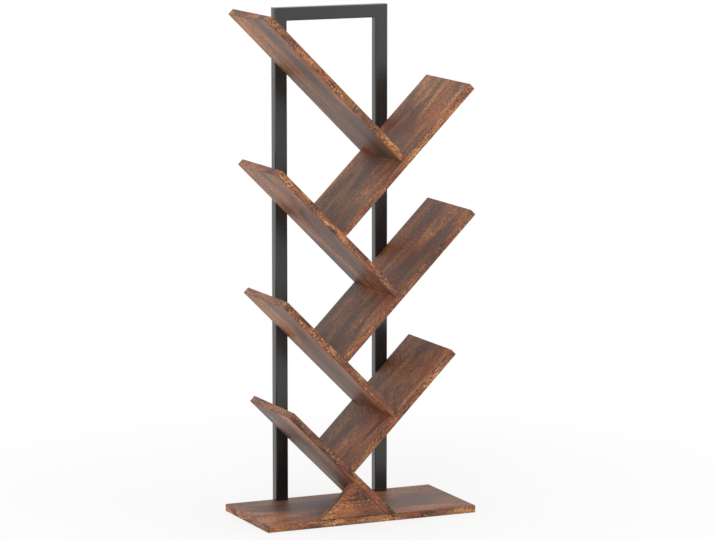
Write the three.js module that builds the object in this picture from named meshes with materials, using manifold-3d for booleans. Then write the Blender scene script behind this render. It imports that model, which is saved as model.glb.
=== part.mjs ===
// A tree shaped bookshelf: seven boards at 45 degrees that branch left and right from a
// zigzag trunk, on a base board with a triangular brace, screwed to a black steel frame.
// Millimetres, +Z up, +X to the right as seen from the front, the front towards -Y.
// The origin is on the floor, under the middle of the shelf.

import * as THREE from "three";
import { mergeVertices } from "three/addons/utils/BufferGeometryUtils.js";
import Module from "manifold-3d";

const wasm = await Module();
wasm.setup();

// Boards, all cut from laminated particleboard of one thickness
const boardThickness = 15;
const baseWidth = 473;
const baseDepth = 230;

// Lengths of the slanted boards, from the highest to the lowest
const leftArmLengths = [421, 374, 350, 326];
const rightArmLengths = [410, 410, 327];

// Clear heights between neighbouring boards, square to them, from the highest to the lowest.
// The last one on the right is measured up the lowest left board, from the base.
const leftClearHeights = [192, 168, 139];
const rightClearHeights = [173, 160, 134];

// Where the upper face of the lowest left board meets the base, right of the middle
const trunkFootOffset = 53;
const braceWidth = 149;

// Frame of rectangular steel tube, welded at its mitred upper corners. It rises above the place
// where the upper face of the highest arm passes its outer side.
const frameWidth = 258;
const frameRise = 91.7;
const tubeWidth = 28;
const tubeDepth = 20;
const tubeWall = 1.2;
const tubeCornerRadius = 2;

// Each upright is in two lengths, which meet just under the highest arm
const seamDrop = 9;
const spliceWall = 2;
const spliceLowerReach = 34;
const spliceMargin = 8;
const footInsertHeight = 24;

// Gaps between pieces that touch and around fixings, and how far a cut runs past a face
const fitGap = 0.3;
const holeClearance = 0.3;
const overrun = 2;

// Places of the fixings
const fixingInset = 45;
const camSetback = 24;
const braceScrewShares = [0.34, 0.6];
const braceTopScrewDrop = 18;
const headSink = 0.3;

// Countersunk screw that joins board to board
const joinScrew = { headRadius: 4.8, headRim: 0.7, headHeight: 2.8, radius: 3, length: 50, tip: 4 };
const joinSocket = { radius: 2.2, depth: 2 };

// Pan head screw from the back of the frame into the rear edge of a slanted board
const frameScrew = { headRadius: 4.6, headRim: 1, headHeight: 2.6, radius: 2.3, length: 45, tip: 5 };
const frameSocket = { radius: 1.8, depth: 1.6 };

// Pan head screw that holds a tube to the splice inside it
const spliceScrew = { headRadius: 3.5, headRim: 0.7, headHeight: 1.8, radius: 1.8, length: 9, tip: 1 };
const spliceSocket = { radius: 1.3, depth: 1.1 };

// Pan head bolt from under the base into the insert in the foot of an upright
const footBolt = { headRadius: 6, headRim: 1, headHeight: 3.2, radius: 2.9, length: 30, tip: 1 };
const footSocket = { radius: 2.5, depth: 2 };
const footBoltSink = 0.6;

// Cam fitting: a bolt in the face of one board, and a round cam in the end of the next
const camBolt = { threadRadius: 2.6, threadLength: 10, tip: 2, collarRadius: 3.4, collarLength: 6 };
const camBoltHead = { neckRadius: 1.9, radius: 3, length: 2.6 };
const cam = { radius: 7.2, roof: 2.8, boreRadius: 3.5 };
const camCross = { width: 1.4, length: 9, depth: 1.8 };

// Wooden dowel between the two cam fittings of a joint
const dowel = { radius: 3.9, length: 30, chamfer: 0.8, faceDepth: 9 };

// The flat end of a screw as a share of its radius, and the same for the top of a pan head
const tipShare = 0.4;
const panTopShare = 0.75;

// The least inside radius of a bend in the tube, as a share of its outside radius
const innerBendShare = 0.3;

// Facets of the round pieces, of a rounded tube corner and of a screw's socket
const roundSides = 12;
const cornerSteps = 2;
const socketSides = 6;

const laminate = new THREE.MeshStandardMaterial({ color: 0x8a5b3e, roughness: 0.5, metalness: 0 });
const blackSteel = new THREE.MeshStandardMaterial({ color: 0x2b2b2b, roughness: 0.45, metalness: 0.4 });
const blackScrew = new THREE.MeshStandardMaterial({ color: 0x1f1f20, roughness: 0.4, metalness: 0.8 });
const zincSteel = new THREE.MeshStandardMaterial({ color: 0xb8babd, roughness: 0.35, metalness: 1 });
const castZinc = new THREE.MeshStandardMaterial({ color: 0x9a9c9e, roughness: 0.5, metalness: 0.9 });
const blackNylon = new THREE.MeshStandardMaterial({ color: 0x181818, roughness: 0.6, metalness: 0 });
const beech = new THREE.MeshStandardMaterial({ color: 0xcfae84, roughness: 0.7, metalness: 0 });

// The screw heads stand out behind the frame, and the depth of the whole shelf includes them
const overallDepth = baseDepth + fitGap + frameScrew.headHeight;
const frontFace = -overallDepth / 2;
const baseRear = frontFace + baseDepth;
const frameFront = baseRear - tubeDepth;
const armRear = frameFront - fitGap;
const tubeMiddleY = baseRear - tubeDepth / 2;
const uprightX = (frameWidth - tubeWidth) / 2;
const fixingRows = { front: frontFace + fixingInset, rear: armRear - fixingInset };
const rowsMiddle = (fixingRows.front + fixingRows.rear) / 2;
const sides = [["left", -1], ["right", 1]];

// The boards lie square in a group that is turned by 45 degrees. Its first axis points up to
// the right, out of the upper face of a left arm. Its third axis points up to the left, out
// of the upper face of a right arm.
const tree = new THREE.Group();
tree.rotation.y = -Math.PI / 4;
tree.updateMatrixWorld(true);
const intoTree = tree.matrixWorld.clone().invert();

const diagonal = Math.SQRT2;
const up = new THREE.Vector3(0, 0, 1);
const forward = new THREE.Vector3(0, -1, 0);
const upRight = new THREE.Vector3(1, 0, 1).normalize();
const upLeft = new THREE.Vector3(-1, 0, 1).normalize();
const downLeft = upRight.clone().negate();

// Upper faces of a family of boards along its own axis, from the highest to the lowest
function upperFaces(lowest, clearHeights) {
  const faces = [lowest];
  for (const height of [...clearHeights].reverse()) {
    faces.unshift(faces[0] + height + boardThickness);
  }
  return faces;
}

const lowestLeftFace = (trunkFootOffset + boardThickness) / diagonal;
const trunkFootAlong = (boardThickness - trunkFootOffset) / diagonal;
const lowestRightFace = trunkFootAlong + rightClearHeights.at(-1) + boardThickness;
const leftFaces = upperFaces(lowestLeftFace, leftClearHeights);
const rightFaces = upperFaces(lowestRightFace, rightClearHeights.slice(0, -1));
const lowestLeft = leftFaces.length - 1;

// A place in the turned group, given in the frame of the whole shelf
function treePlace(alongRight, y, alongLeft) {
  return new THREE.Vector3(alongRight, y, alongLeft).applyMatrix4(tree.matrixWorld);
}

// Heights at which a face of a left arm and of a right arm cross a place in X
const leftArmHeight = (face, x) => face * diagonal - x;
const rightArmHeight = (face, x) => face * diagonal + x;

const frameHeight = leftArmHeight(leftFaces[0], -frameWidth / 2) + frameRise;

// The frame screws go into the middle of each arm's rear edge, where it crosses an upright
const leftScrewHeights = leftFaces.map((face) => leftArmHeight(face - boardThickness / 2, -uprightX));
const rightScrewHeights = rightFaces.map((face) => rightArmHeight(face - boardThickness / 2, uprightX));

// The two lengths of an upright meet under the highest arm, on a splice that ends below its screw
const uprightInnerX = frameWidth / 2 - tubeWidth;
const seamHeight = leftArmHeight(leftFaces[0] - boardThickness, -uprightInnerX) - seamDrop;
const spliceTop = leftScrewHeights[0] - spliceMargin;
const spliceBottom = seamHeight - spliceLowerReach;

// The brace is a right angled triangle on its long edge, against the lowest left arm
const braceAlongRight = lowestLeftFace - boardThickness - fitGap;
const braceFootAlong = (boardThickness + fitGap) * diagonal - braceAlongRight;
const braceTopAlong = braceFootAlong + braceWidth / diagonal;
const braceLeftX = (braceAlongRight - braceWidth / diagonal - braceTopAlong) / diagonal;

function solidOf(geometry) {
  const bare = geometry.index ? geometry.toNonIndexed() : geometry.clone();
  bare.deleteAttribute("normal");
  bare.deleteAttribute("uv");
  const merged = mergeVertices(bare);
  const corners = merged.index.array;
  const kept = [];
  for (let start = 0; start < corners.length; start += 3) {
    const [a, b, c] = corners.slice(start, start + 3);
    if (a !== b && b !== c && c !== a) {
      kept.push(a, b, c);
    }
  }
  const mesh = new wasm.Mesh({
    numProp: 3,
    vertProperties: new Float32Array(merged.attributes.position.array),
    triVerts: new Uint32Array(kept),
  });
  return new wasm.Manifold(mesh);
}

function geometryOf(solid) {
  const mesh = solid.getMesh();
  const geometry = new THREE.BufferGeometry();
  geometry.setAttribute("position", new THREE.BufferAttribute(mesh.vertProperties, 3));
  geometry.setIndex(new THREE.BufferAttribute(mesh.triVerts, 1));
  geometry.computeVertexNormals();
  return geometry;
}

function cutFrom(geometry, cutters) {
  let solid = solidOf(geometry);
  for (const cutter of cutters) {
    solid = solid.subtract(solidOf(cutter));
  }
  return geometryOf(solid);
}

// A flat outline in X and Z that is given depth along Y
function slab(outline, front, rear) {
  const shape = new THREE.Shape(outline.map(([x, z]) => new THREE.Vector2(x, z)));
  const geometry = new THREE.ExtrudeGeometry(shape, { depth: rear - front, bevelEnabled: false });
  geometry.rotateX(Math.PI / 2);
  geometry.translate(0, rear, 0);
  return geometry;
}

function rectangle(left, right, low, high) {
  return [[left, low], [right, low], [right, high], [left, high]];
}

// A shape turned about +Z from a profile of radius and height
function turned(profile) {
  const points = profile.map(([radius, height]) => new THREE.Vector2(radius, height));
  const geometry = new THREE.LatheGeometry(points, roundSides);
  geometry.rotateX(Math.PI / 2);
  return geometry;
}

// A round hole along +Z, with its clearance all round and at its far end
function bore(radius, start, end) {
  const wide = radius + holeClearance;
  const deep = end + holeClearance;
  return turned([[0, start], [wide, start], [wide, deep], [0, deep]]);
}

// Geometry made along +Z, brought to a place and a direction
function aimed(geometry, at, along) {
  const turn = new THREE.Quaternion().setFromUnitVectors(up, along);
  return geometry.applyQuaternion(turn).translate(at.x, at.y, at.z);
}

const shelf = new THREE.Group();
const fixings = new THREE.Group();
const frame = new THREE.Group();
shelf.add(tree, fixings, frame);

// Holes in the frame of the whole shelf, by the name of the piece that they are drilled into
const holes = new Map();

function drill(pieces, cutter, at, along) {
  const placed = aimed(cutter, at, along);
  for (const piece of pieces) {
    holes.set(piece, [...(holes.get(piece) ?? []), placed]);
  }
}

// Adds a piece with its holes drilled and its own origin at its middle
function addPiece(group, name, geometry, material) {
  const intoGroup = group === tree ? intoTree : new THREE.Matrix4();
  const cutters = (holes.get(name) ?? []).map((hole) => hole.clone().applyMatrix4(intoGroup));
  const finished = cutFrom(geometry, cutters);
  finished.computeBoundingBox();
  const middle = finished.boundingBox.getCenter(new THREE.Vector3());
  finished.translate(-middle.x, -middle.y, -middle.z);
  const mesh = new THREE.Mesh(finished, material.clone());
  mesh.name = name;
  mesh.position.copy(middle);
  group.add(mesh);
}

// Adds a fixing that is made along +Z from its own origin
function addFixing(name, geometry, at, along, material) {
  const mesh = new THREE.Mesh(geometry, material.clone());
  mesh.name = name;
  mesh.position.copy(at);
  mesh.quaternion.setFromUnitVectors(up, along);
  fixings.add(mesh);
}

// Six sided socket, cut into a head from its outer face
function socketCutter(socket) {
  const height = overrun + socket.depth;
  const geometry = new THREE.CylinderGeometry(socket.radius, socket.radius, height, socketSides);
  geometry.rotateX(Math.PI / 2);
  geometry.translate(0, 0, socket.depth - height / 2);
  return geometry;
}

// Shank and tip, which every screw ends with
function shankProfile(size) {
  return [
    [size.radius, size.length - size.tip],
    [size.radius * tipShare, size.length],
    [0, size.length],
  ];
}

function countersunkScrew(size, socket) {
  const head = [
    [0, 0],
    [size.headRadius, 0],
    [size.headRadius, size.headRim],
    [size.radius, size.headHeight],
  ];
  return cutFrom(turned([...head, ...shankProfile(size)]), [socketCutter(socket)]);
}

function panHeadScrew(size, socket) {
  const head = [
    [0, 0],
    [size.headRadius * panTopShare, 0],
    [size.headRadius, size.headRim],
    [size.headRadius, size.headHeight],
    [size.radius, size.headHeight],
  ];
  return cutFrom(turned([...head, ...shankProfile(size)]), [socketCutter(socket)]);
}

// Hole for a countersunk screw: the head's cone, open at the face, and then the shank
function countersunkHole(size) {
  const wide = size.headRadius + holeClearance;
  const narrow = size.radius + holeClearance;
  const deep = size.length + holeClearance;
  return turned([
    [0, -overrun],
    [wide, -overrun],
    [wide, size.headRim],
    [narrow, size.headHeight],
    [narrow, deep],
    [0, deep],
  ]);
}

function addJoinScrew(name, face, along, pieces) {
  const at = face.clone().addScaledVector(along, headSink);
  addFixing(name, countersunkScrew(joinScrew, joinSocket), at, along, zincSteel);
  drill(pieces, countersunkHole(joinScrew), at, along);
}

// The lower end of each left arm is screwed to the upper face of the right arm beside it
function addArmScrews(index) {
  const alongRight = leftFaces[index] - boardThickness / 2;
  const underside = rightFaces[index] - boardThickness;
  const pieces = [`right_arm_${index + 1}`, `left_arm_${index + 1}`];
  for (const [row, y] of Object.entries(fixingRows)) {
    const face = treePlace(alongRight, y, underside);
    addJoinScrew(`arm_screw_${index + 1}_${row}`, face, upLeft, pieces);
  }
}

// The cam bolt runs from inside the lower board, across the gap, into the cam in the upper one
function camBoltShape() {
  const collarStart = camBolt.threadLength + fitGap;
  const collarEnd = collarStart + camBolt.collarLength;
  const headMiddle = collarStart + camSetback;
  const headStart = headMiddle - camBoltHead.length / 2;
  const headEnd = headMiddle + camBoltHead.length / 2;
  return turned([
    [0, 0],
    [camBolt.threadRadius * tipShare, 0],
    [camBolt.threadRadius, camBolt.tip],
    [camBolt.threadRadius, collarStart],
    [camBolt.collarRadius, collarStart],
    [camBolt.collarRadius, collarEnd],
    [camBoltHead.neckRadius, collarEnd],
    [camBoltHead.neckRadius, headStart],
    [camBoltHead.radius, headStart],
    [camBoltHead.radius, headEnd],
    [0, headEnd],
  ]);
}

// A round cam with a side opening that takes the head of the bolt, and a cross in its face
function camShape() {
  const height = boardThickness - cam.roof;
  const body = turned([[0, 0], [cam.radius, 0], [cam.radius, height], [0, height]]);
  const opening = turned([
    [0, -cam.radius - overrun],
    [cam.boreRadius, -cam.radius - overrun],
    [cam.boreRadius, camBoltHead.length],
    [0, camBoltHead.length],
  ]);
  opening.rotateY(Math.PI / 2);
  opening.translate(0, 0, boardThickness / 2 - headSink);
  const cross = [0, Math.PI / 2].map((turn) => {
    const bar = new THREE.BoxGeometry(camCross.length, camCross.width, camCross.depth + overrun);
    bar.translate(0, 0, (camCross.depth - overrun) / 2);
    return bar.rotateZ(turn);
  });
  return cutFrom(body, [opening, ...cross]);
}

// The lower end of each right arm stands on the next left arm, on two cam fittings and a dowel
function addCamJoint(index) {
  const rightArm = `right_arm_${index + 1}`;
  const leftArm = `left_arm_${index + 2}`;
  const face = leftFaces[index + 1];
  const middle = rightFaces[index] - boardThickness / 2;
  const camAlong = face + fitGap + camSetback;
  for (const [row, y] of Object.entries(fixingRows)) {
    const boltStart = treePlace(face - camBolt.threadLength, y, middle);
    const threadHole = bore(camBolt.threadRadius, -holeClearance, camBolt.threadLength + overrun);
    const endHole = bore(camBolt.collarRadius, -overrun, camSetback);
    addFixing(`cam_bolt_${index + 1}_${row}`, camBoltShape(), boltStart, upRight, zincSteel);
    drill([leftArm], threadHole, boltStart, upRight);
    drill([rightArm], endHole, treePlace(face, y, middle), upRight);

    const camFace = treePlace(camAlong, y, rightFaces[index] - boardThickness + headSink);
    addFixing(`cam_${index + 1}_${row}`, camShape(), camFace, upLeft, castZinc);
    drill([rightArm], bore(cam.radius, -overrun, boardThickness - cam.roof), camFace, upLeft);
  }
  const dowelStart = treePlace(face - dowel.faceDepth, rowsMiddle, middle);
  addFixing(`dowel_${index + 1}`, dowelShape(), dowelStart, upRight, beech);
  drill([leftArm, rightArm], bore(dowel.radius, -holeClearance, dowel.length), dowelStart, upRight);
}

function dowelShape() {
  const thin = dowel.radius - dowel.chamfer;
  return turned([
    [0, 0],
    [thin, 0],
    [dowel.radius, dowel.chamfer],
    [dowel.radius, dowel.length - dowel.chamfer],
    [thin, dowel.length],
    [0, dowel.length],
  ]);
}

// The brace is screwed from under the base, and through the lowest left arm from above
function addBraceScrews() {
  const y = frontFace + boardThickness / 2;
  braceScrewShares.forEach((share, index) => {
    const face = new THREE.Vector3(braceLeftX + share * braceWidth, y, 0);
    addJoinScrew(`brace_screw_${index + 1}`, face, up, ["base_board", "foot_brace"]);
  });
  const armFace = treePlace(lowestLeftFace, y, braceTopAlong - braceTopScrewDrop);
  addJoinScrew("brace_top_screw", armFace, downLeft, [`left_arm_${lowestLeft + 1}`, "foot_brace"]);
}

// Each arm is screwed from behind where it crosses an upright
function addFrameScrew(name, x, z, pieces) {
  const at = new THREE.Vector3(x, baseRear + fitGap + frameScrew.headHeight, z);
  addFixing(name, panHeadScrew(frameScrew, frameSocket), at, forward, blackScrew);
  drill(pieces, bore(frameScrew.radius, 0, frameScrew.length), at, forward);
}

function addFrameScrews() {
  leftScrewHeights.forEach((z, index) => {
    const tube = z > seamHeight ? "upper_upright_left" : "lower_upright_left";
    addFrameScrew(`frame_screw_left_${index + 1}`, -uprightX, z, [tube, `left_arm_${index + 1}`]);
  });
  rightScrewHeights.forEach((z, index) => {
    const tube = z > seamHeight ? "upper_upright_right" : "lower_upright_right";
    addFrameScrew(`frame_screw_right_${index + 1}`, uprightX, z, [tube, `right_arm_${index + 1}`]);
  });
}

function addSpliceScrews(side, x) {
  const heights = { upper: (seamHeight + spliceTop) / 2, lower: (seamHeight + spliceBottom) / 2 };
  for (const [place, z] of Object.entries(heights)) {
    const at = new THREE.Vector3(x, baseRear + fitGap + spliceScrew.headHeight, z);
    const screw = panHeadScrew(spliceScrew, spliceSocket);
    const hole = bore(spliceScrew.radius, 0, spliceScrew.length);
    addFixing(`splice_screw_${side}_${place}`, screw, at, forward, blackScrew);
    drill([`${place}_upright_${side}`, `splice_${side}`], hole, at, forward);
  }
}

// A bolt holds each upright to the base. Its head lies in a counterbore under the base.
function addFootBolt(side, x) {
  const at = new THREE.Vector3(x, tubeMiddleY, footBoltSink);
  addFixing(`foot_bolt_${side}`, panHeadScrew(footBolt, footSocket), at, up, zincSteel);
  drill(["base_board"], bore(footBolt.headRadius, -overrun, footBolt.headHeight), at, up);
  drill(["base_board", `foot_insert_${side}`], bore(footBolt.radius, 0, footBolt.length), at, up);
}

// Outline of a rounded rectangle about its middle, as a shape or as the hole in one
function roundedOutline(path, width, depth, radius) {
  const x = width / 2 - radius;
  const y = depth / 2 - radius;
  path.absarc(x, y, radius, 0, Math.PI / 2, false);
  path.absarc(-x, y, radius, Math.PI / 2, Math.PI, false);
  path.absarc(-x, -y, radius, Math.PI, Math.PI * 1.5, false);
  path.absarc(x, -y, radius, Math.PI * 1.5, Math.PI * 2, false);
  path.closePath();
  return path;
}

// A length of hollow tube along +Z, or a solid block where no wall is given
function tube(width, depth, radius, wall, length) {
  const shape = roundedOutline(new THREE.Shape(), width, depth, radius);
  if (wall > 0) {
    const inner = new THREE.Path();
    roundedOutline(inner, width - 2 * wall, depth - 2 * wall, innerRadius(radius, wall));
    shape.holes.push(inner);
  }
  const settings = { depth: length, bevelEnabled: false, curveSegments: cornerSteps };
  return new THREE.ExtrudeGeometry(shape, settings);
}

// A bend's inside follows its outside, and stays round where the wall is thick
function innerRadius(radius, wall) {
  return Math.max(radius - wall, radius * innerBendShare);
}

function frameTube(length) {
  return tube(tubeWidth, tubeDepth, tubeCornerRadius, tubeWall, length);
}

// What fits inside the frame's tube with a gap all round
function tubeInsert(wall, length) {
  const inset = 2 * (tubeWall + fitGap);
  const radius = innerRadius(tubeCornerRadius, tubeWall) + fitGap;
  return tube(tubeWidth - inset, tubeDepth - inset, radius, wall, length);
}

// Everything on one side of an upper corner's mitre. The mitre runs from the outer corner
// down to the inner one, and side is -1 on the left and 1 on the right.
function mitreCutter(side, keepsUpright) {
  const halfGap = (fitGap / 2) * diagonal;
  const shift = keepsUpright ? -halfGap : halfGap;
  const reach = tubeWidth + overrun;
  const outer = frameWidth / 2;
  const line = (along) => [side * (outer - along), frameHeight - along + shift];
  const corner = keepsUpright
    ? [side * (outer - reach), frameHeight + overrun + halfGap]
    : [side * (outer + overrun), frameHeight - reach - overrun];
  return slab([line(-overrun), line(reach), corner], frameFront - overrun, baseRear + overrun);
}

function addUpright(side, sign) {
  const x = sign * uprightX;
  const foot = boardThickness + fitGap;
  const lower = frameTube(seamHeight - fitGap / 2 - foot);
  lower.translate(x, tubeMiddleY, foot);
  addPiece(frame, `lower_upright_${side}`, lower, blackSteel);

  const upperFoot = seamHeight + fitGap / 2;
  const upper = frameTube(frameHeight - upperFoot);
  upper.translate(x, tubeMiddleY, upperFoot);
  addPiece(frame, `upper_upright_${side}`, cutFrom(upper, [mitreCutter(sign, true)]), blackSteel);

  const splice = tubeInsert(spliceWall, spliceTop - spliceBottom);
  splice.translate(x, tubeMiddleY, spliceBottom);
  addPiece(frame, `splice_${side}`, splice, blackSteel);

  const insert = tubeInsert(0, footInsertHeight);
  insert.translate(x, tubeMiddleY, foot);
  addPiece(frame, `foot_insert_${side}`, insert, blackNylon);
}

function addTopBar() {
  const bar = frameTube(frameWidth);
  bar.rotateY(Math.PI / 2);
  bar.translate(-frameWidth / 2, tubeMiddleY, frameHeight - tubeWidth / 2);
  const mitres = sides.map(([name, sign]) => mitreCutter(sign, false));
  addPiece(frame, "frame_top_bar", cutFrom(bar, mitres), blackSteel);
}

// The lower end of the lowest left arm is cut level, and stands on the base
function leftArmOutline(index) {
  const upper = leftFaces[index];
  const lower = upper - boardThickness;
  if (index === lowestLeft) {
    const floor = (boardThickness + fitGap) * diagonal;
    const end = floor - upper + leftArmLengths[index];
    return [[lower, floor - lower], [upper, floor - upper], [upper, end], [lower, end]];
  }
  const start = rightFaces[index] + fitGap;
  return rectangle(lower, upper, start, start + leftArmLengths[index]);
}

function rightArmOutline(index) {
  const upper = rightFaces[index];
  const start = leftFaces[index + 1] + fitGap;
  return rectangle(start, start + rightArmLengths[index], upper - boardThickness, upper);
}

function addArms() {
  for (const index of leftFaces.keys()) {
    addPiece(tree, `left_arm_${index + 1}`, slab(leftArmOutline(index), frontFace, armRear), laminate);
  }
  for (const index of rightFaces.keys()) {
    addPiece(tree, `right_arm_${index + 1}`, slab(rightArmOutline(index), frontFace, armRear), laminate);
  }
}

function addBrace() {
  const outline = [
    [braceAlongRight, braceFootAlong],
    [braceAlongRight, braceTopAlong],
    [braceAlongRight - braceWidth / diagonal, braceTopAlong],
  ];
  addPiece(tree, "foot_brace", slab(outline, frontFace, frontFace + boardThickness), laminate);
}

function addBase() {
  const outline = rectangle(-baseWidth / 2, baseWidth / 2, 0, boardThickness);
  addPiece(shelf, "base_board", slab(outline, frontFace, baseRear), laminate);
}

// Fixings come first, because they drill the holes that the pieces are then made with
for (const index of rightFaces.keys()) {
  addArmScrews(index);
  addCamJoint(index);
}
addBraceScrews();
addFrameScrews();
for (const [side, sign] of sides) {
  addSpliceScrews(side, sign * uprightX);
  addFootBolt(side, sign * uprightX);
}

addBase();
addArms();
addBrace();
for (const [side, sign] of sides) {
  addUpright(side, sign);
}
addTopBar();

export default shelf;
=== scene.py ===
import math
import bpy
import bmesh
import numpy as np
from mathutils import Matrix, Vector


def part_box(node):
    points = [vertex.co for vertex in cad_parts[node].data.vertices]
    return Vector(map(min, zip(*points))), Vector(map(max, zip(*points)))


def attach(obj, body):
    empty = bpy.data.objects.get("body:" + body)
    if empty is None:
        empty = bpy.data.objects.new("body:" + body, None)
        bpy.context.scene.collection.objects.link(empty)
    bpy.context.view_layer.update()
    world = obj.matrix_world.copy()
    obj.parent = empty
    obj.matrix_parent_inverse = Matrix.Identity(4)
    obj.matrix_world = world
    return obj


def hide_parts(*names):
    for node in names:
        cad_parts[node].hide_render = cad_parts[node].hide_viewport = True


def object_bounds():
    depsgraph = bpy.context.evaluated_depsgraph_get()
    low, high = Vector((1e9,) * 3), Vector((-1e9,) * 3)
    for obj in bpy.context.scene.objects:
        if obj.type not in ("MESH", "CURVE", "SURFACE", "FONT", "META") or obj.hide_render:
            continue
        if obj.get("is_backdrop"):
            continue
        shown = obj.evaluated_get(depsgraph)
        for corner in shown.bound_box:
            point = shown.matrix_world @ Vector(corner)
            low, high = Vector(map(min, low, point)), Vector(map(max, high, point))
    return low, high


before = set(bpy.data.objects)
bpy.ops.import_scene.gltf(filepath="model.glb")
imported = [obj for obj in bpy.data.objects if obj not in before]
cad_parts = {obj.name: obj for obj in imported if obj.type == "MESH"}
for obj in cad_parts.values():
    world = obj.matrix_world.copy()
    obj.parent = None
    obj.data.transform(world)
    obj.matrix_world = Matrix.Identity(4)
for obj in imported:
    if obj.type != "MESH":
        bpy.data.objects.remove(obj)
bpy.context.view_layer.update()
print("frame loaded")

mm = 0.001
up = np.array([0.0, 0.0, 1.0])
back = np.array([0.0, 1.0, 0.0])
right = np.array([1.0, 0.0, 0.0])
upRight = np.array([1.0, 0.0, 1.0]) / math.sqrt(2)
upLeft = np.array([-1.0, 0.0, 1.0]) / math.sqrt(2)


# Materials

def linear(hexColour):
    # sRGB hex to linear colour, by the standard curve and with alpha 1
    value = int(hexColour.lstrip("#"), 16)
    srgb = np.array([value >> 16 & 255, value >> 8 & 255, value & 255]) / 255
    colour = np.where(srgb <= 0.04045, srgb / 12.92, ((srgb + 0.055) / 1.055) ** 2.4)
    return (*colour.tolist(), 1.0)


def addNode(tree, kind, inputs=None, stops=None, **settings):
    # a node with its settings, and each input given either a value or a link
    node = tree.nodes.new(kind)
    for name, value in settings.items():
        setattr(node, name, value)
    for key, value in (inputs or {}).items():
        if isinstance(value, bpy.types.NodeSocket):
            tree.links.new(value, node.inputs[key])
        else:
            node.inputs[key].default_value = value
    if stops:
        ramp = node.color_ramp
        while len(ramp.elements) < len(stops):
            ramp.elements.new(0.5)
        for element, (place, colour) in zip(ramp.elements, stops):
            element.position = place
            element.color = linear(colour)
    return node


def newMaterial(name):
    # a material with nothing in it but a shader and an output
    material = bpy.data.materials.new(name)
    material.use_nodes = True
    tree = material.node_tree
    tree.nodes.clear()
    shader = addNode(tree, "ShaderNodeBsdfPrincipled")
    addNode(tree, "ShaderNodeOutputMaterial", {"Surface": shader.outputs[0]})
    return material, tree, shader


def perMetre(sizes):
    # how many of a pattern's features, given in mm, there are in a metre along each axis
    return [1 / (size * mm) for size in sizes]


def moved(shift):
    # a place in the pattern that no other pattern uses: the axes are shifted by unlike amounts
    acrossShare, throughShare = 1.7, 0.6
    return shift, shift * acrossShare, shift * throughShare


# Rustic brown melamine: a printed wood pattern under a satin resin skin, on particleboard. The eye
# sees orange brown wood with dark specks and short fibres, long reddish and yellow patches, clouds of
# dark grey brown, and a grey sheen where it is seen at a slant. Sizes are in mm, along and across the
# print. The real specks are finer, and are drawn as coarse as they need to show.
laminateLook = {
    "grain": (260, 7.0), "grainBend": 18, "bendSize": (240, 60),
    "fibre": (22, 0.8), "pore": (12, 0.6), "speckle": (6, 3.6), "crackle": (12, 5.0),
    "stain": (180, 50), "cloud": (230, 85), "blush": (120, 45), "honey": (90, 40),
    "weights": {"stain": 1.7, "grain": 0.08, "fibre": 0.9, "speckle": 1.8}, "bias": -1.69,
    "tones": ((0.0, "#291a14"), (0.25, "#4b3023"), (0.5, "#7c4e33"), (0.7, "#9b633d"),
              (0.85, "#b67848"), (1.0, "#d09763")),
    "blushColour": "#8f4630", "blushShare": 0.5, "blushEdge": (0.45, 0.62),
    "honeyColour": "#b0733c", "honeyShare": 0.4, "honeyEdge": (0.5, 0.64),
    "cloudColour": "#453a36", "cloudShare": 0.72, "cloudEdge": (0.42, 0.62),
    "crackleShare": 0.3, "poreColour": "#2a1a12", "poreShare": 0.35,
    "roughness": (0.44, 0.58), "specular": 0.4, "relief": 0.25,
}

# The edge band carries the same print on a narrow tape: its patches are shorter, and its specks, drawn
# coarser than the real ones as well, stand out more
bandLook = {
    **laminateLook,
    "stain": (70, 24), "cloud": (90, 30), "blush": (50, 20), "honey": (44, 18), "grain": (120, 5.0),
    "speckle": (4.0, 2.8), "crackle": (9, 3.6),
    "weights": {"stain": 2.6, "grain": 0.10, "fibre": 1.0, "speckle": 3.1}, "bias": -2.90,
    "blushShare": 0.6, "honeyShare": 0.45, "cloudShare": 0.4,
}

# The eased arrises are printed as the band is, with tones that lie a little nearer the dark end
arrisDarker = 0.3
arrisLook = {**bandLook, "bias": bandLook["bias"] - arrisDarker}

# What all three prints share. Through the board a pattern stays the same over a metre, so it is flat.
printing = {
    "through": 1000,
    "bendOrigin": 3.1, "bendDetail": 2.0,
    "grainOrigin": 1.3, "grainDistortion": 2.2, "grainDetail": 3.0, "grainDetailScale": 1.6,
    "grainDetailRoughness": 0.62,
    "crackleOrigin": 17.3, "crackWidth": 0.16, "crackBreaks": (0.42, 0.58),
    "poreEdge": (0.60, 0.72), "glossEdge": (0.3, 0.7), "darkHeight": -0.8, "reliefDepth": 0.15,
}

# the noises that the print is made of: where each is taken from, its detail, roughness and distortion
printNoises = {
    "stain": (2.4, 4.0, 0.55, 0.7), "fibre": (5.7, 5.0, 0.62, 0.0), "speckle": (8.2, 3.0, 0.6, 0.5),
    "cloud": (11.9, 3.0, 0.5, 0.4), "blush": (14.2, 3.0, 0.5, 0.4), "honey": (20.4, 3.0, 0.5, 0.4),
    "pore": (6.6, 2.0, 0.5, 0.0),
}


def onPrint(sizes):
    # features in a metre along, across and through the print
    return perMetre((*sizes, printing["through"]))


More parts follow.
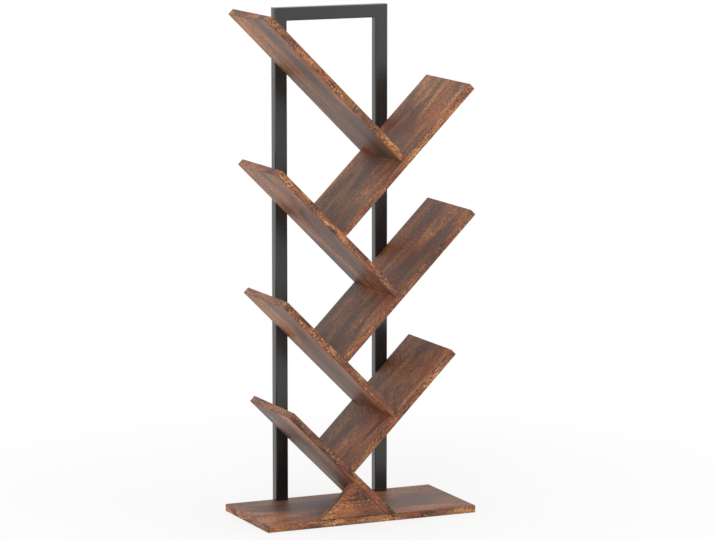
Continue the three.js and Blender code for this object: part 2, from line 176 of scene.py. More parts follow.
def printedWood(name, look):
    material, tree, shader = newMaterial(name)
    place = addNode(tree, "ShaderNodeAttribute", attribute_name="decor").outputs["Vector"]

    # slow noise shifts the print's lines across the grain, so that they bend
    slow = addNode(tree, "ShaderNodeVectorMath",
                   {0: place, 1: onPrint(look["bendSize"]), 2: moved(printing["bendOrigin"])},
                   operation="MULTIPLY_ADD").outputs[0]
    bend = addNode(tree, "ShaderNodeTexNoise",
                   {"Vector": slow, "Scale": 1.0, "Detail": printing["bendDetail"]})
    reach = 2 * look["grainBend"] * mm
    shift = addNode(tree, "ShaderNodeVectorMath",
                    {0: bend.outputs["Color"], 1: (0, reach, 0), 2: (0, -reach / 2, 0)},
                    operation="MULTIPLY_ADD").outputs[0]
    bent = addNode(tree, "ShaderNodeVectorMath", {0: place, 1: shift}, operation="ADD").outputs[0]

    # at this scale the wave, which has 20 radians to a unit, draws one grain line to each unit
    lines = addNode(tree, "ShaderNodeVectorMath",
                    {0: bent, 1: onPrint(look["grain"]), 2: moved(printing["grainOrigin"])},
                    operation="MULTIPLY_ADD").outputs[0]
    grain = addNode(tree, "ShaderNodeTexWave",
                    {"Vector": lines, "Scale": math.tau / 20, "Distortion": printing["grainDistortion"],
                     "Detail": printing["grainDetail"], "Detail Scale": printing["grainDetailScale"],
                     "Detail Roughness": printing["grainDetailRoughness"]},
                    wave_type="BANDS", bands_direction="Y", wave_profile="SAW")
    layers = {"grain": grain.outputs["Fac"]}
    for key, (origin, detail, rough, distortion) in printNoises.items():
        spread = addNode(tree, "ShaderNodeVectorMath",
                         {0: bent, 1: onPrint(look[key]), 2: moved(origin)},
                         operation="MULTIPLY_ADD").outputs[0]
        layers[key] = addNode(tree, "ShaderNodeTexNoise",
                              {"Vector": spread, "Scale": 1.0, "Detail": detail, "Roughness": rough,
                               "Distortion": distortion}).outputs[0]

    # tone is the weighted sum of the layers, and the ramp turns it into the print's colours
    tone = look["bias"]
    for key, weight in look["weights"].items():
        tone = addNode(tree, "ShaderNodeMath", {0: layers[key], 1: weight, 2: tone},
                       operation="MULTIPLY_ADD").outputs[0]
    colour = addNode(tree, "ShaderNodeValToRGB", {"Fac": tone}, stops=look["tones"]).outputs["Color"]

    # fine cracks are the borders of stretched cells, broken off where the speckle is light
    cells = addNode(tree, "ShaderNodeVectorMath",
                    {0: bent, 1: onPrint(look["crackle"]), 2: moved(printing["crackleOrigin"])},
                    operation="MULTIPLY_ADD").outputs[0]
    border = addNode(tree, "ShaderNodeTexVoronoi", {"Vector": cells, "Scale": 1.0},
                     feature="DISTANCE_TO_EDGE").outputs["Distance"]
    crack = addNode(tree, "ShaderNodeMapRange",
                    {0: border, 1: 0.0, 2: printing["crackWidth"], 3: look["crackleShare"], 4: 0.0})
    whole, gone = printing["crackBreaks"]
    broken = addNode(tree, "ShaderNodeMapRange",
                     {0: layers["speckle"], 1: whole, 2: gone, 3: 1.0, 4: 0.0})
    crackle = addNode(tree, "ShaderNodeMath", {0: crack.outputs[0], 1: broken.outputs[0]},
                      operation="MULTIPLY").outputs[0]
    edgeLow, edgeHigh = printing["poreEdge"]
    pore = addNode(tree, "ShaderNodeMapRange",
                   {0: layers["pore"], 1: edgeLow, 2: edgeHigh, 3: 0.0, 4: look["poreShare"]}).outputs[0]
    dark = addNode(tree, "ShaderNodeMath", {0: pore, 1: crackle}, operation="MAXIMUM").outputs[0]

    # the patches are laid over the wood: red ones, yellow ones and then grey ones
    for key in ("blush", "honey", "cloud"):
        edgeLow, edgeHigh = look[key + "Edge"]
        mask = addNode(tree, "ShaderNodeMapRange",
                       {0: layers[key], 1: edgeLow, 2: edgeHigh, 3: 0.0, 4: look[key + "Share"]},
                       interpolation_type="SMOOTHSTEP").outputs[0]
        colour = addNode(tree, "ShaderNodeMix", {0: mask, 6: colour, 7: linear(look[key + "Colour"])},
                         data_type="RGBA").outputs[2]
    colour = addNode(tree, "ShaderNodeMix", {0: dark, 6: colour, 7: linear(look["poreColour"])},
                     data_type="RGBA").outputs[2]
    tree.links.new(colour, shader.inputs["Base Color"])

    # the fibres vary the gloss and stand up a little, and the pores and cracks lie deeper
    edgeLow, edgeHigh = printing["glossEdge"]
    smooth, dull = look["roughness"]
    rough = addNode(tree, "ShaderNodeMapRange",
                    {0: layers["fibre"], 1: edgeLow, 2: edgeHigh, 3: smooth, 4: dull})
    tree.links.new(rough.outputs[0], shader.inputs["Roughness"])
    shader.inputs["Specular IOR Level"].default_value = look["specular"]
    height = addNode(tree, "ShaderNodeMath", {0: dark, 1: printing["darkHeight"], 2: layers["fibre"]},
                     operation="MULTIPLY_ADD").outputs[0]
    bump = addNode(tree, "ShaderNodeBump", {"Height": height, "Strength": look["relief"],
                                            "Distance": printing["reliefDepth"] * mm})
    tree.links.new(bump.outputs[0], shader.inputs["Normal"])
    return material


# The other finishes: fine and broad noise vary the colour and the roughness, and the fine noise alone
# gives the relief. The grain and the depth of the relief are in mm, and both are real sizes: the grain
# shows at close range, and the broad noise is as coarse as it needs to be to show from the camera.
coatLooks = {
    # polyester powder coat, sprayed and baked: black with a smooth satin shine, so that it is near
    # black where it reflects the boards and grey where it reflects the room
    "blackPowderCoat": {"colours": ("#181818", "#1f1f1f"), "rough": (0.20, 0.28), "grain": 2.4,
                        "relief": 0.12, "depth": 0.03, "metallic": 0.0, "specular": 0.75},
    # black coated cold headed steel: the screws look a little rougher and duller than the tube
    "blackCoatedSteel": {"colours": ("#161617", "#1f1f20"), "rough": (0.28, 0.42), "grain": 0.8,
                         "relief": 0.15, "depth": 0.03, "metallic": 0.0, "specular": 0.6},
    # zinc plating on cold headed steel: bright bluish grey with dull patches
    "zincPlate": {"colours": ("#a9adb2", "#c9c8c2"), "rough": (0.24, 0.42), "grain": 1.6,
                  "relief": 0.1, "depth": 0.03, "metallic": 1.0, "specular": 0.5},
    # zinc alloy as cast: dull grey with a fine pebbled skin
    "castZinc": {"colours": ("#85888b", "#a4a6a7"), "rough": (0.42, 0.58), "grain": 0.7,
                 "relief": 0.35, "depth": 0.05, "metallic": 1.0, "specular": 0.5},
    # moulded nylon, inside the feet of the uprights: dull black, with a faint fine texture
    "blackNylon": {"colours": ("#161616", "#1d1d1d"), "rough": (0.5, 0.62), "grain": 0.9,
                   "relief": 0.2, "depth": 0.04, "metallic": 0.0, "specular": 0.5},
    # turned beech, dry and unfinished: pale pinkish yellow with short flecks
    "turnedBeech": {"colours": ("#c09a6c", "#d6b489"), "rough": (0.6, 0.75), "grain": 1.5,
                    "relief": 0.3, "depth": 0.05, "metallic": 0.0, "specular": 0.4},
    # raw particleboard as drilled: a pale, rough mottle of pressed chips, seen only inside the holes
    "particleboard": {"colours": ("#8f6c45", "#d4b182"), "rough": (0.85, 0.95), "grain": 1.8,
                      "relief": 0.8, "depth": 0.3, "metallic": 0.0, "specular": 0.2},
}


# each noise's size in grains, where it is taken from and its detail, then the fine one's share of
# their mix, and the range of the mix over which the colour goes from the first to the second
coating = {"fine": (1, 1.9, 3.0), "broad": (40, 4.4, 4.0), "fineShare": 0.4, "edge": (0.35, 0.65)}


def coated(name, look):
    material, tree, shader = newMaterial(name)
    place = addNode(tree, "ShaderNodeTexCoord").outputs["Object"]
    noises = []
    for times, origin, detail in (coating["fine"], coating["broad"]):
        spread = addNode(tree, "ShaderNodeVectorMath",
                         {0: place, 1: perMetre([times * look["grain"]] * 3), 2: moved(origin)},
                         operation="MULTIPLY_ADD").outputs[0]
        noises.append(addNode(tree, "ShaderNodeTexNoise",
                              {"Vector": spread, "Scale": 1.0, "Detail": detail}).outputs[0])
    fine, broad = noises
    both = addNode(tree, "ShaderNodeMix", {0: coating["fineShare"], 2: broad, 3: fine}).outputs[0]
    edgeLow, edgeHigh = coating["edge"]
    share = addNode(tree, "ShaderNodeMapRange", {0: both, 1: edgeLow, 2: edgeHigh}).outputs[0]
    first, second = look["colours"]
    colour = addNode(tree, "ShaderNodeMix", {0: share, 6: linear(first), 7: linear(second)},
                     data_type="RGBA").outputs[2]
    tree.links.new(colour, shader.inputs["Base Color"])
    smooth, dull = look["rough"]
    rough = addNode(tree, "ShaderNodeMapRange", {0: share, 3: smooth, 4: dull}).outputs[0]
    tree.links.new(rough, shader.inputs["Roughness"])
    shader.inputs["Metallic"].default_value = look["metallic"]
    shader.inputs["Specular IOR Level"].default_value = look["specular"]
    bump = addNode(tree, "ShaderNodeBump",
                   {"Height": fine, "Strength": look["relief"], "Distance": look["depth"] * mm})
    tree.links.new(bump.outputs[0], shader.inputs["Normal"])
    return material


materials = {name: coated(name, look) for name, look in coatLooks.items()}
materials["laminateFace"] = printedWood("laminateFace", laminateLook)
materials["laminateBand"] = printedWood("laminateBand", bandLook)
materials["laminateArris"] = printedWood("laminateArris", arrisLook)
print("materials made")


# Meshes

# metres within which two points become one: on a surface made here, on a fixing and on a CAD mesh
weld = {"surface": 2e-7, "fixing": 1e-6, "cad": 2e-6}


def meshFrom(name, points, faces, reach=weld["surface"]):
    # rows of points and faces as index tuples become a mesh, with doubles merged and faces outwards
    mesh = bpy.data.meshes.new(name)
    mesh.from_pydata(points.tolist(), [], faces)
    work = bmesh.new()
    work.from_mesh(mesh)
    bmesh.ops.remove_doubles(work, verts=work.verts, dist=reach)
    bmesh.ops.recalc_face_normals(work, faces=work.faces)
    work.to_mesh(mesh)
    work.free()
    return mesh


def gridFaces(rows, columns):
    # quads of a grid that closes on itself along its columns
    corner = (np.arange(rows - 1)[:, None] * columns + np.arange(columns)).ravel()
    beside = (np.arange(rows - 1)[:, None] * columns + (np.arange(columns) + 1) % columns).ravel()
    return np.stack([corner, corner + columns, beside + columns, beside], axis=1).tolist()


def addPiece(name, mesh, nodes, materialNames):
    # a mesh takes the place of the CAD nodes, and the materials fill its slots in their order
    piece = bpy.data.objects.new(name, mesh)
    bpy.context.scene.collection.objects.link(piece)
    for materialName in materialNames:
        mesh.materials.append(materials[materialName])
    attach(piece, "root")
    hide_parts(*nodes)


# Boards: a prism over a convex outline in X and Z, with every arris eased

board = {
    # mm: the arris's radius, how far the surface lies inside the CAD board, and how far from every
    # side a polygon is taken to lie in a hole
    "ease": 0.8, "easeSteps": 3, "skin": 0.03, "holeDepth": 0.5,
    # a polygon's normal points through the board by more than the first on a face and by less than
    # the second on a band, and outwards by more than the third wherever it isn't in a hole
    "faceLift": 0.98, "bandLift": 0.02, "outwards": 0.5,
    # metres of print, and the seeds of the parts of it that each board's faces and bands are cut from
    "printReach": 9,
    "seeds": {"left_arm_1": (163, 199), "left_arm_2": (237, 378), "left_arm_3": (40, 64),
              "left_arm_4": (286, 394), "right_arm_1": (7, 5), "right_arm_2": (14, 212),
              "right_arm_3": (22, 273), "base_board": (70, 81), "foot_brace": (208, 69)},
}


def corners(node):
    # the sides of the node's box in X and Z
    low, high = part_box(node)
    return low.x, high.x, low.z, high.z


def slantedOutline(node, thickness, leansLeft):
    # a board at 45 degrees fills its box, so the box's sides less half a diagonal are its corners
    x0, x1, z0, z1 = corners(node)
    cut = thickness / math.sqrt(2)
    if leansLeft:
        return [(x1 - cut, z0), (x1, z0 + cut), (x0 + cut, z1), (x0, z1 - cut)]
    return [(x0 + cut, z0), (x1, z1 - cut), (x1 - cut, z1), (x0, z0 + cut)]


def footedOutline(node, thickness):
    # the lowest left board, whose lower end is cut level: two half diagonals are its length there
    x0, x1, z0, z1 = corners(node)
    cut = thickness / math.sqrt(2)
    return [(x1 - 2 * cut, z0), (x1, z0), (x1 + z0 - z1, z1), (x0, z1 - cut)]


def flatOutline(node):
    # the sides of the box
    x0, x1, z0, z1 = corners(node)
    return [(x0, z0), (x1, z0), (x1, z1), (x0, z1)]


def braceOutline(node):
    # a triangle as wide and high as its box, with its tip in the middle
    x0, x1, z0, z1 = corners(node)
    return [(x0, z0), (x1, z0), ((x0 + x1) / 2, z1)]


def edgePlanes(outline):
    # outward normals in X and Z, and the distance of each side from the origin
    points = np.array(outline)
    along = np.roll(points, -1, axis=0) - points
    normals = np.stack([along[:, 1], -along[:, 0]], axis=1)
    normals /= np.linalg.norm(normals, axis=1)[:, None]
    return normals, (normals * points).sum(axis=1)


def easedPrism(name, outline, front, rear):
    # every point is a point of a smaller prism plus a ball's radius: the outline is drawn in by the
    # ease, each corner gets an arc of the ball, and the stations run over the ball from pole to pole
    ease = board["ease"] * mm
    inset = ease + board["skin"] * mm
    normals, distances = edgePlanes(outline)
    before = np.roll(normals, 1, axis=0)
    centres = np.array([np.linalg.solve(np.stack([a, b]), [da - inset, db - inset]) for a, b, da, db in
                        zip(before, normals, np.roll(distances, 1), distances)])
    start = np.arctan2(before[:, 1], before[:, 0])
    turn = (np.arctan2(normals[:, 1], normals[:, 0]) - start) % math.tau
    steps = np.linspace(0, 1, board["easeSteps"] + 1)
    angles = (start[:, None] + turn[:, None] * steps).ravel()
    hubs = np.repeat(centres, len(steps), axis=0)
    quarter = np.linspace(0, math.pi / 2, board["easeSteps"] + 1)
    tilts = np.concatenate([quarter - math.pi / 2, quarter])
    ends = np.repeat([front + inset, rear - inset], len(quarter))
    ring = np.cos(tilts)[:, None] * ease
    x = hubs[:, 0] + ring * np.cos(angles)
    z = hubs[:, 1] + ring * np.sin(angles)
    y = np.broadcast_to((ends + ease * np.sin(tilts))[:, None], x.shape)
    points = np.stack([x, y, z], axis=-1).reshape(-1, 3)
    columns = len(angles)
    faces = gridFaces(len(tilts), columns)
    cap = list(range(0, columns, len(steps)))
    faces.append(cap)
    faces.append([index + (len(tilts) - 1) * columns for index in reversed(cap)])
    return meshFrom(name, points, faces)


def drilled(mesh, node):
    # what the eased board and the CAD board share: the eased board with its holes
    blank = bpy.data.objects.new("blank", mesh)
    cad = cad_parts[node].data.copy()
    work = bmesh.new()
    work.from_mesh(cad)
    bmesh.ops.remove_doubles(work, verts=work.verts, dist=weld["cad"])
    work.to_mesh(cad)
    work.free()
    cutter = bpy.data.objects.new("cutter", cad)
    for helper in (blank, cutter):
        bpy.context.scene.collection.objects.link(helper)
    cut = blank.modifiers.new("holes", "BOOLEAN")
    cut.operation = "INTERSECT"
    cut.solver = "EXACT"
    cut.object = cutter
    bpy.context.view_layer.update()
    result = bpy.data.meshes.new_from_object(blank.evaluated_get(bpy.context.evaluated_depsgraph_get()))
    for helper in (blank, cutter):
        bpy.data.objects.remove(helper)
    result.materials.clear()
    return result


def dressBoard(mesh, outline, front, rear, through, along, seeds):
    # decor holds, for each corner of each polygon, its place along and across the print from the first
    # corner of the outline, moved by the seeds to a part of the print of its own
    faceSlot, bandSlot, arrisSlot, holeSlot = range(4)
    flat, distances = edgePlanes(outline)
    planes = np.array([(x, 0, z) for x, z in flat] + [(0, -1, 0), (0, 1, 0)])
    distances = np.concatenate([distances, [-front, rear]])

    count = len(mesh.polygons)
    normals = np.empty(count * 3, np.float32)
    centres = np.empty(count * 3, np.float32)
    totals = np.empty(count, np.int32)
    mesh.polygons.foreach_get("normal", normals)
    mesh.polygons.foreach_get("center", centres)
    mesh.polygons.foreach_get("loop_total", totals)
    normals = normals.reshape(-1, 3)
    centres = centres.reshape(-1, 3)
    depths = distances - centres @ planes.T
    nearest = depths.argmin(axis=1)
    facing = (normals * planes[nearest]).sum(axis=1)
    inHole = (depths.min(axis=1) > board["holeDepth"] * mm) | (facing < board["outwards"])
    lift = normals @ through
    slots = np.where(np.abs(lift) < board["bandLift"], bandSlot, arrisSlot)
    slots[np.abs(lift) > board["faceLift"]] = faceSlot
    slots[inHole] = holeSlot

    # a band runs round the board along the side that it is glued to, which is the one that the
    # polygon faces most: a side that carries no band gets less than any cosine
    noBand = -2
    isBand = np.abs(planes @ through) < board["outwards"]
    side = np.where(isBand[None, :], normals @ planes.T, noBand).argmax(axis=1)
    onFace = (slots == faceSlot)[:, None]
    run = np.where(onFace, along, np.cross(through, planes[side]))
    across = np.where(onFace, np.cross(through, along), through)
    faceSeed, bandSeed = seeds
    reach = board["printReach"]
    offsets = np.concatenate([np.random.default_rng(bandSeed).uniform(0, reach, (len(planes), 3)),
                              np.random.default_rng(faceSeed).uniform(0, reach, (2, 3))])
    which = np.where(slots == faceSlot, len(planes) + (lift > 0), side)

    loopPolygon = np.repeat(np.arange(count), totals)
    loopVertex = np.empty(len(mesh.loops), np.int32)
    mesh.loops.foreach_get("vertex_index", loopVertex)
    points = np.empty(len(mesh.vertices) * 3, np.float32)
    mesh.vertices.foreach_get("co", points)
    points = points.reshape(-1, 3)[loopVertex] - (outline[0][0], front, outline[0][1])
    decor = np.stack([(points * run[loopPolygon]).sum(axis=1),
                      (points * across[loopPolygon]).sum(axis=1),
                      np.zeros(len(points))], axis=1) + offsets[which[loopPolygon]]
    layer = mesh.attributes.new("decor", "FLOAT_VECTOR", "CORNER")
    layer.data.foreach_set("vector", decor.astype(np.float32).ravel())
    mesh.polygons.foreach_set("material_index", slots.astype(np.int32))


def addBoard(node, outline, through, along):
    # through is the way across the board's thickness, and along the way that its print runs
    low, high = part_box(node)
    mesh = drilled(easedPrism(node + "_board", outline, low.y, high.y), node)
    addPiece(node + "_board", mesh, [node],
             ["laminateFace", "laminateBand", "laminateArris", "particleboard"])
    dressBoard(mesh, outline, low.y, high.y, through, along, board["seeds"][node])


def addBoards():
    low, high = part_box("base_board")
    thickness = high.z - low.z
    for number in (1, 2, 3):
        node = f"left_arm_{number}"
        addBoard(node, slantedOutline(node, thickness, True), upRight, upLeft)
        node = f"right_arm_{number}"
        addBoard(node, slantedOutline(node, thickness, False), upLeft, upRight)
    addBoard("left_arm_4", footedOutline("left_arm_4", thickness), upRight, upLeft)
    addBoard("base_board", flatOutline("base_board"), up, right)
    addBoard("foot_brace", braceOutline("foot_brace"), back, right)


addBoards()
print("boards made")


# Steel frame: rounded rectangular tube, carried along its path as a surface. Sizes are in mm.

tube = {"corner": 2.0, "cornerSteps": 6, "rim": 0.35, "endEase": 0.5, "endSteps": 3, "sharpAngle": 40}


def tubeProfile(width, depth):
    # rounded rectangle: hubs at the corners' centres and a unit direction at each point, with one
    # more point on each flat just past the bend, which keeps the flats' shading flat
    corner = tube["corner"] * mm
    hubs = np.array([(1, 1), (-1, 1), (-1, -1), (1, -1)]) * [width / 2 - corner, depth / 2 - corner]
    angles = np.arange(4)[:, None] * math.pi / 2 + np.linspace(0, math.pi / 2, tube["cornerSteps"] + 1)
    directions = np.stack([np.cos(angles), np.sin(angles)], axis=-1)
    first, last = directions[:, 0], directions[:, -1]
    rim = tube["rim"] * mm
    lead = np.stack([first[:, 1], -first[:, 0]], axis=-1) * rim
    trail = np.stack([-last[:, 1], last[:, 0]], axis=-1) * rim
    hubRows = np.concatenate([(hubs + lead)[:, None], np.repeat(hubs[:, None], len(angles[0]), axis=1),
                              (hubs + trail)[:, None]], axis=1)
    directionRows = np.concatenate([first[:, None], directions, last[:, None]], axis=1)
    return hubRows.reshape(-1, 2), directionRows.reshape(-1, 2), corner


def tubeEnd(outward):
    # (inset of the profile, way back from the end) over a quarter circle, from the end inwards
    angles = np.linspace(0, math.pi / 2, tube["endSteps"] + 1)
    ease = tube["endEase"] * mm
    rows = [(ease * (1 - math.sin(a)), ease * (1 - math.cos(a))) for a in angles]
    rows.append((0.0, ease + tube["rim"] * mm))
    return rows if outward else rows[::-1]


def sweptTube(name, stations, width, depth):
    # each station turns the profile's offsets, outwards and towards the back, into a ring in space
    hubs, directions, corner = tubeProfile(width, depth)
    rings = []
    for inset, place in stations:
        offsets = hubs + directions * (corner - inset)
        rings.append(place(offsets[:, 0], offsets[:, 1]))
    points = np.concatenate(rings)
    columns = len(hubs)
    faces = gridFaces(len(rings), columns)
    faces.append(list(range(columns)))
    faces.append([index + (len(rings) - 1) * columns for index in reversed(range(columns))])
    mesh = meshFrom(name, points, faces)
    mesh.shade_smooth()
    mesh.set_sharp_from_angle(angle=math.radians(tube["sharpAngle"]))
    return mesh


def uprightRing(sideX, sign, middleY, height):
    # a level ring round an upright: out is away from the middle of the frame
    return lambda out, deep: np.stack(
        [sideX + sign * out, middleY + deep, np.full_like(out, height)], axis=-1)


def addFrame():
    low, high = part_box("upper_upright_left")
    legWidth, depth = high.x - low.x, high.y - low.y
    legX, footZ = (high.x + low.x) / 2, low.z
    middleY = (low.y + high.y) / 2
    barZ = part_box("frame_top_bar")[1].z - legWidth / 2

    def cornerRing(sign):
        # a ring on the mitre, which rises as far as it goes out
        return lambda out, deep: np.stack(
            [sign * (abs(legX) + out), middleY + deep, barZ + out], axis=-1)

    stations = [(inset, uprightRing(legX, -1, middleY, footZ + way)) for inset, way in tubeEnd(True)]
    stations += [(0.0, cornerRing(-1)), (0.0, cornerRing(1))]
    stations += [(inset, uprightRing(-legX, 1, middleY, footZ + way)) for inset, way in tubeEnd(False)]
    mesh = sweptTube("frame_top", stations, legWidth, depth)
    addPiece("frame_top", mesh, ["frame_top_bar", "upper_upright_left", "upper_upright_right"],
             ["blackPowderCoat"])

    for side, sign in (("left", -1), ("right", 1)):
        node = f"lower_upright_{side}"
        low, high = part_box(node)
        stations = [(inset, uprightRing(sign * abs(legX), sign, middleY, low.z + way))
                    for inset, way in tubeEnd(True)]
        stations += [(inset, uprightRing(sign * abs(legX), sign, middleY, high.z - way))
                     for inset, way in tubeEnd(False)]
        mesh = sweptTube(node + "_tube", stations, legWidth, depth)
        addPiece(node + "_tube", mesh, [node], ["blackPowderCoat"])


addFrame()
print("frame made")


# Fixings: surfaces of revolution whose socket rings follow a hexagon or a cross. Sizes are in mm.
# Head, shank and socket are radii, and a slot's length and width are halves.

fixingSizes = {
    "frameScrew": {"kind": "pan", "head": 4.6, "height": 2.6, "shank": 2.3, "length": 45, "socket": 1.8},
    "spliceScrew": {"kind": "pan", "head": 3.5, "height": 1.8, "shank": 1.8, "length": 9, "socket": 1.3},
    "footBolt": {"kind": "pan", "head": 6.0, "height": 3.2, "shank": 2.9, "length": 30, "socket": 2.5},
    "joinScrew": {"kind": "flat", "head": 4.8, "height": 2.8, "shank": 3.0, "length": 50, "socket": 2.2},
    "cam": {"kind": "cam", "head": 7.2, "height": 12.2, "slotLength": 4.5, "slotWidth": 0.75},
}
# what the fixings share: the socket's depth is a share of the head's height, the tip's radius one of
# the shank's, and a socket's or slot's floor one of its width
fixing = {"steps": 96, "domeSteps": 8, "socketShare": 0.62, "chamfer": 0.25, "tipShare": 0.4,
          "slotDepth": 1.8, "socketFloor": 0.97, "slotFloor": 0.92, "flatRim": 0.75, "sharpAngle": 35}
tiny = 1e-6


def hexagon(angles, size):
    # size is the distance to a corner, and a side is as far off as its middle over the cosine of the
    # angle from that middle
    return size * math.cos(math.pi / 6) / np.cos(angles % (math.pi / 3) - math.pi / 6)


def cross(angles, length, width):
    # the nearer of two sides: the end of the arm that the angle points to, or the arm's long side
    cosine, sine = np.abs(np.cos(angles)), np.abs(np.sin(angles))
    end = length / np.maximum(cosine, sine)
    return np.minimum(end, width / np.maximum(np.minimum(cosine, sine), tiny))


def fixingRings(size, angles):
    # (radius, height) from the bottom of the socket, over the head and down the shank, in mm
    head, height, chamfer = size["head"], size["height"], fixing["chamfer"]
    if size["kind"] == "cam":
        slot = cross(angles, size["slotLength"], size["slotWidth"])
        depth = fixing["slotDepth"]
        return [(0, depth), (slot * fixing["slotFloor"], depth), (slot, depth - chamfer),
                (slot, chamfer / 2), (slot + chamfer / 2, 0), (head - chamfer, 0), (head, chamfer),
                (head, height), (0, height)]
    socket = hexagon(angles, size["socket"])
    depth = size["height"] * fixing["socketShare"]
    rings = [(0, depth + chamfer), (socket * fixing["socketFloor"], depth), (socket, depth - chamfer),
             (socket, chamfer)]
    rim = size["socket"] + chamfer
    if size["kind"] == "pan":
        bend = np.linspace(0, math.pi / 2, fixing["domeSteps"])
        dome = height - chamfer
        rings += [(rim + (head - rim) * math.sin(b), dome * (1 - math.cos(b))) for b in bend]
        rings += [(head, height - chamfer), (head - chamfer, height), (size["shank"], height)]
    else:
        rings += [(rim, 0), (head - chamfer, 0), (head, chamfer), (head, fixing["flatRim"]),
                  (size["shank"], height)]
    tip = size["shank"] * (1 - fixing["tipShare"])
    return rings + [(size["shank"], size["length"] - 2 * tip),
                    (size["shank"] - tip, size["length"]), (0, size["length"])]


def headPlace(node, inwards, radius):
    # the middle of the head's outer face, from the node's box: along each axis a disc of that
    # radius, square to the screw, reaches radius times the sine of the angle between them
    low, high = (np.array(corner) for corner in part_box(node))
    reach = radius * np.sqrt(np.maximum(1 - inwards ** 2, 0))
    far = np.where(inwards < 0, high - reach, low + reach)
    return np.where(np.abs(inwards) < tiny, (low + high) / 2, far)


def addFixing(node, kind, inwards, materialName):
    # a point is the head's middle, plus its radius in its direction round the screw, plus its height
    # along the screw
    size = fixingSizes[kind]
    angles = np.linspace(0, math.tau, fixing["steps"], endpoint=False)
    rings = fixingRings(size, angles)
    radii = np.stack([np.broadcast_to(radius, angles.shape) for radius, _ in rings]) * mm
    heights = np.array([height for _, height in rings])[:, None, None] * mm
    side = np.cross(inwards, back if inwards[1] == 0 else up)
    side /= np.linalg.norm(side)
    other = np.cross(inwards, side)
    turned = np.cos(angles)[:, None] * side + np.sin(angles)[:, None] * other
    points = headPlace(node, inwards, size["head"] * mm) + radii[..., None] * turned + heights * inwards
    faces = gridFaces(len(rings), len(angles))
    mesh = meshFrom(node + "_turned", points.reshape(-1, 3), faces, weld["fixing"])
    mesh.shade_smooth()
    mesh.set_sharp_from_angle(angle=math.radians(fixing["sharpAngle"]))
    addPiece(node + "_turned", mesh, [node], [materialName])


def addFixings():
    for number in (1, 2, 3, 4):
        addFixing(f"frame_screw_left_{number}", "frameScrew", -back, "blackCoatedSteel")
    for number in (1, 2, 3):
        addFixing(f"frame_screw_right_{number}", "frameScrew", -back, "blackCoatedSteel")
        for row in ("front", "rear"):
            addFixing(f"arm_screw_{number}_{row}", "joinScrew", upLeft, "zincPlate")
            addFixing(f"cam_{number}_{row}", "cam", upLeft, "castZinc")
    for side in ("left", "right"):
        addFixing(f"foot_bolt_{side}", "footBolt", up, "zincPlate")
        for place in ("upper", "lower"):
            addFixing(f"splice_screw_{side}_{place}", "spliceScrew", -back,
                      "blackCoatedSteel")
    for number in (1, 2):
        addFixing(f"brace_screw_{number}", "joinScrew", up, "zincPlate")
    addFixing("brace_top_screw", "joinScrew", -upRight, "zincPlate")


addFixings()

# The pieces that lie inside others keep their CAD shapes
hiddenFinishes = {"cam_bolt": "zincPlate", "dowel": "turnedBeech", "splice_left": "blackPowderCoat",
                  "splice_right": "blackPowderCoat", "foot_insert": "blackNylon"}
for node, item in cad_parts.items():
    for start, materialName in hiddenFinishes.items():
        if node.startswith(start):
            for materialSlot in item.material_slots:
                materialSlot.material = materials[materialName]
print("fixings made")


# Studio: a pale floor, a white surround and soft lamps, in metres and watts, with the floor's drop
# below the base in mm

studio = {
    "floorColour": "#f4f4f3", "floorReach": 30, "floorDrop": 0.2, "floorSpecular": 0.1,
    "floorGrain": 3.0, "floorDetail": 2.0, "floorGrainEdge": (0.3, 0.7), "floorRoughness": (0.85, 0.9),
    "floorWhite": 0.72, "shadowFade": (0.45, 1.3),
    "glossFar": (5.0, 10.0), "glossBehind": (-0.3, 0.4),
    "surround": 0.7,
    "lamps": {
        "key": {"place": (-1.6, -2.6, 2.6), "size": 2.2, "power": 38},
        "fill": {"place": (2.4, -2.2, 1.4), "size": 2.4, "power": 14},
        "side": {"place": (-3.0, -0.9, 0.6), "size": 1.6, "power": 16},
        "top": {"place": (0.2, 0.3, 3.2), "size": 2.0, "power": 16},
    },
}


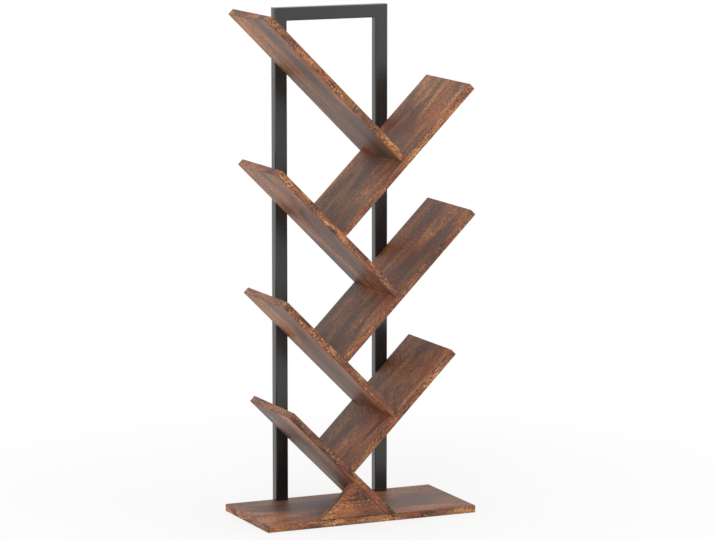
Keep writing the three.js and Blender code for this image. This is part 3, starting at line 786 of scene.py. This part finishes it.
def addFloor():
    # the floor is partly plain white where the camera sees it, and wholly so beyond the shadow. A
    # gloss shows it white behind the object and far off, and as it is lit in front, where the room
    # is dimmer: that leaves the steel grey at the top and nearly black lower down.
    material, tree, shader = newMaterial("paleFloor")
    place = addNode(tree, "ShaderNodeTexCoord").outputs["Object"]
    grain = addNode(tree, "ShaderNodeTexNoise", {"Vector": place, "Scale": studio["floorGrain"],
                                                 "Detail": studio["floorDetail"]}).outputs[0]
    edgeLow, edgeHigh = studio["floorGrainEdge"]
    smooth, dull = studio["floorRoughness"]
    rough = addNode(tree, "ShaderNodeMapRange",
                    {0: grain, 1: edgeLow, 2: edgeHigh, 3: smooth, 4: dull}).outputs[0]
    tree.links.new(rough, shader.inputs["Roughness"])
    shader.inputs["Base Color"].default_value = linear(studio["floorColour"])
    shader.inputs["Specular IOR Level"].default_value = studio["floorSpecular"]

    away = addNode(tree, "ShaderNodeVectorMath", {0: place}, operation="LENGTH").outputs["Value"]
    depth = addNode(tree, "ShaderNodeSeparateXYZ", {0: place}).outputs["Y"]
    whites = []
    for value, edges, least in ((away, studio["shadowFade"], studio["floorWhite"]),
                                (away, studio["glossFar"], 0.0), (depth, studio["glossBehind"], 0.0)):
        whites.append(addNode(tree, "ShaderNodeMapRange", {0: value, 1: edges[0], 2: edges[1], 3: least},
                              interpolation_type="SMOOTHSTEP").outputs[0])
    forCamera, far, behind = whites
    forGloss = addNode(tree, "ShaderNodeMath", {0: far, 1: behind}, operation="MAXIMUM").outputs[0]

    rays = addNode(tree, "ShaderNodeLightPath").outputs
    glossy = addNode(tree, "ShaderNodeMath", {0: rays["Is Glossy Ray"], 1: rays["Is Transmission Ray"]},
                     operation="MAXIMUM").outputs[0]
    share = addNode(tree, "ShaderNodeMath", {0: glossy, 1: forGloss}, operation="MULTIPLY").outputs[0]
    share = addNode(tree, "ShaderNodeMath", {0: rays["Is Camera Ray"], 1: forCamera, 2: share},
                    operation="MULTIPLY_ADD").outputs[0]
    glow = addNode(tree, "ShaderNodeEmission", {"Color": linear("#ffffff"), "Strength": 1.0})
    mixed = addNode(tree, "ShaderNodeMixShader", {0: share, 1: shader.outputs[0], 2: glow.outputs[0]})
    output = next(node for node in tree.nodes if node.type == "OUTPUT_MATERIAL")
    tree.links.new(mixed.outputs[0], output.inputs["Surface"])

    reach = studio["floorReach"]
    z = -studio["floorDrop"] * mm
    mesh = bpy.data.meshes.new("floor")
    mesh.from_pydata([(-reach, -reach, z), (reach, -reach, z), (reach, reach, z), (-reach, reach, z)], [],
                     [(0, 1, 2, 3)])
    mesh.materials.append(material)
    floor = bpy.data.objects.new("floor", mesh)
    bpy.context.scene.collection.objects.link(floor)
    floor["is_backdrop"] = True


def addSurround():
    # the camera, glosses and glass see the world as plain white, and the rest of its light is dimmer
    world = bpy.data.worlds.new("surround")
    bpy.context.scene.world = world
    world.use_nodes = True
    tree = world.node_tree
    tree.nodes.clear()
    rays = addNode(tree, "ShaderNodeLightPath").outputs
    seen = rays["Is Camera Ray"]
    for ray in ("Is Glossy Ray", "Is Transmission Ray"):
        seen = addNode(tree, "ShaderNodeMath", {0: seen, 1: rays[ray]}, operation="MAXIMUM").outputs[0]
    strength = addNode(tree, "ShaderNodeMapRange", {0: seen, 3: studio["surround"], 4: 1.0}).outputs[0]
    light = addNode(tree, "ShaderNodeBackground", {"Color": linear("#ffffff"), "Strength": strength})
    addNode(tree, "ShaderNodeOutputWorld", {"Surface": light.outputs[0]})


def addLamps():
    low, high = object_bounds()
    aim = (low + high) / 2
    for name, lamp in studio["lamps"].items():
        light = bpy.data.lights.new(name, "AREA")
        light.shape = "DISK"
        light.size = lamp["size"]
        light.energy = lamp["power"]
        item = bpy.data.objects.new(name, light)
        item.location = lamp["place"]
        item.rotation_euler = (aim - Vector(lamp["place"])).to_track_quat("-Z", "Y").to_euler()
        bpy.context.scene.collection.objects.link(item)


# Camera, solved from the board and tube edges in the photograph, in metres, degrees and pixels, with
# the sensor in mm
view = {"place": (-3.1254, -6.9447, 1.7094), "azimuth": -24.355, "elevation": 8.919,
        "focalPixels": 3700.9, "imageWidth": 716, "sensor": 36, "clipEnd": 100}


def addCamera():
    camera = bpy.data.cameras.new("camera")
    camera.sensor_width = view["sensor"]
    camera.lens = view["focalPixels"] / view["imageWidth"] * view["sensor"]
    camera.clip_end = view["clipEnd"]
    item = bpy.data.objects.new("camera", camera)
    azimuth, elevation = math.radians(view["azimuth"]), math.radians(view["elevation"])
    item.location = view["place"]
    item.rotation_euler = (math.pi / 2 - elevation, 0, azimuth)
    bpy.context.scene.collection.objects.link(item)
    bpy.context.scene.camera = item


addFloor()
addSurround()
addLamps()
addCamera()
bpy.context.scene.view_settings.view_transform = "Standard"
print("studio made")
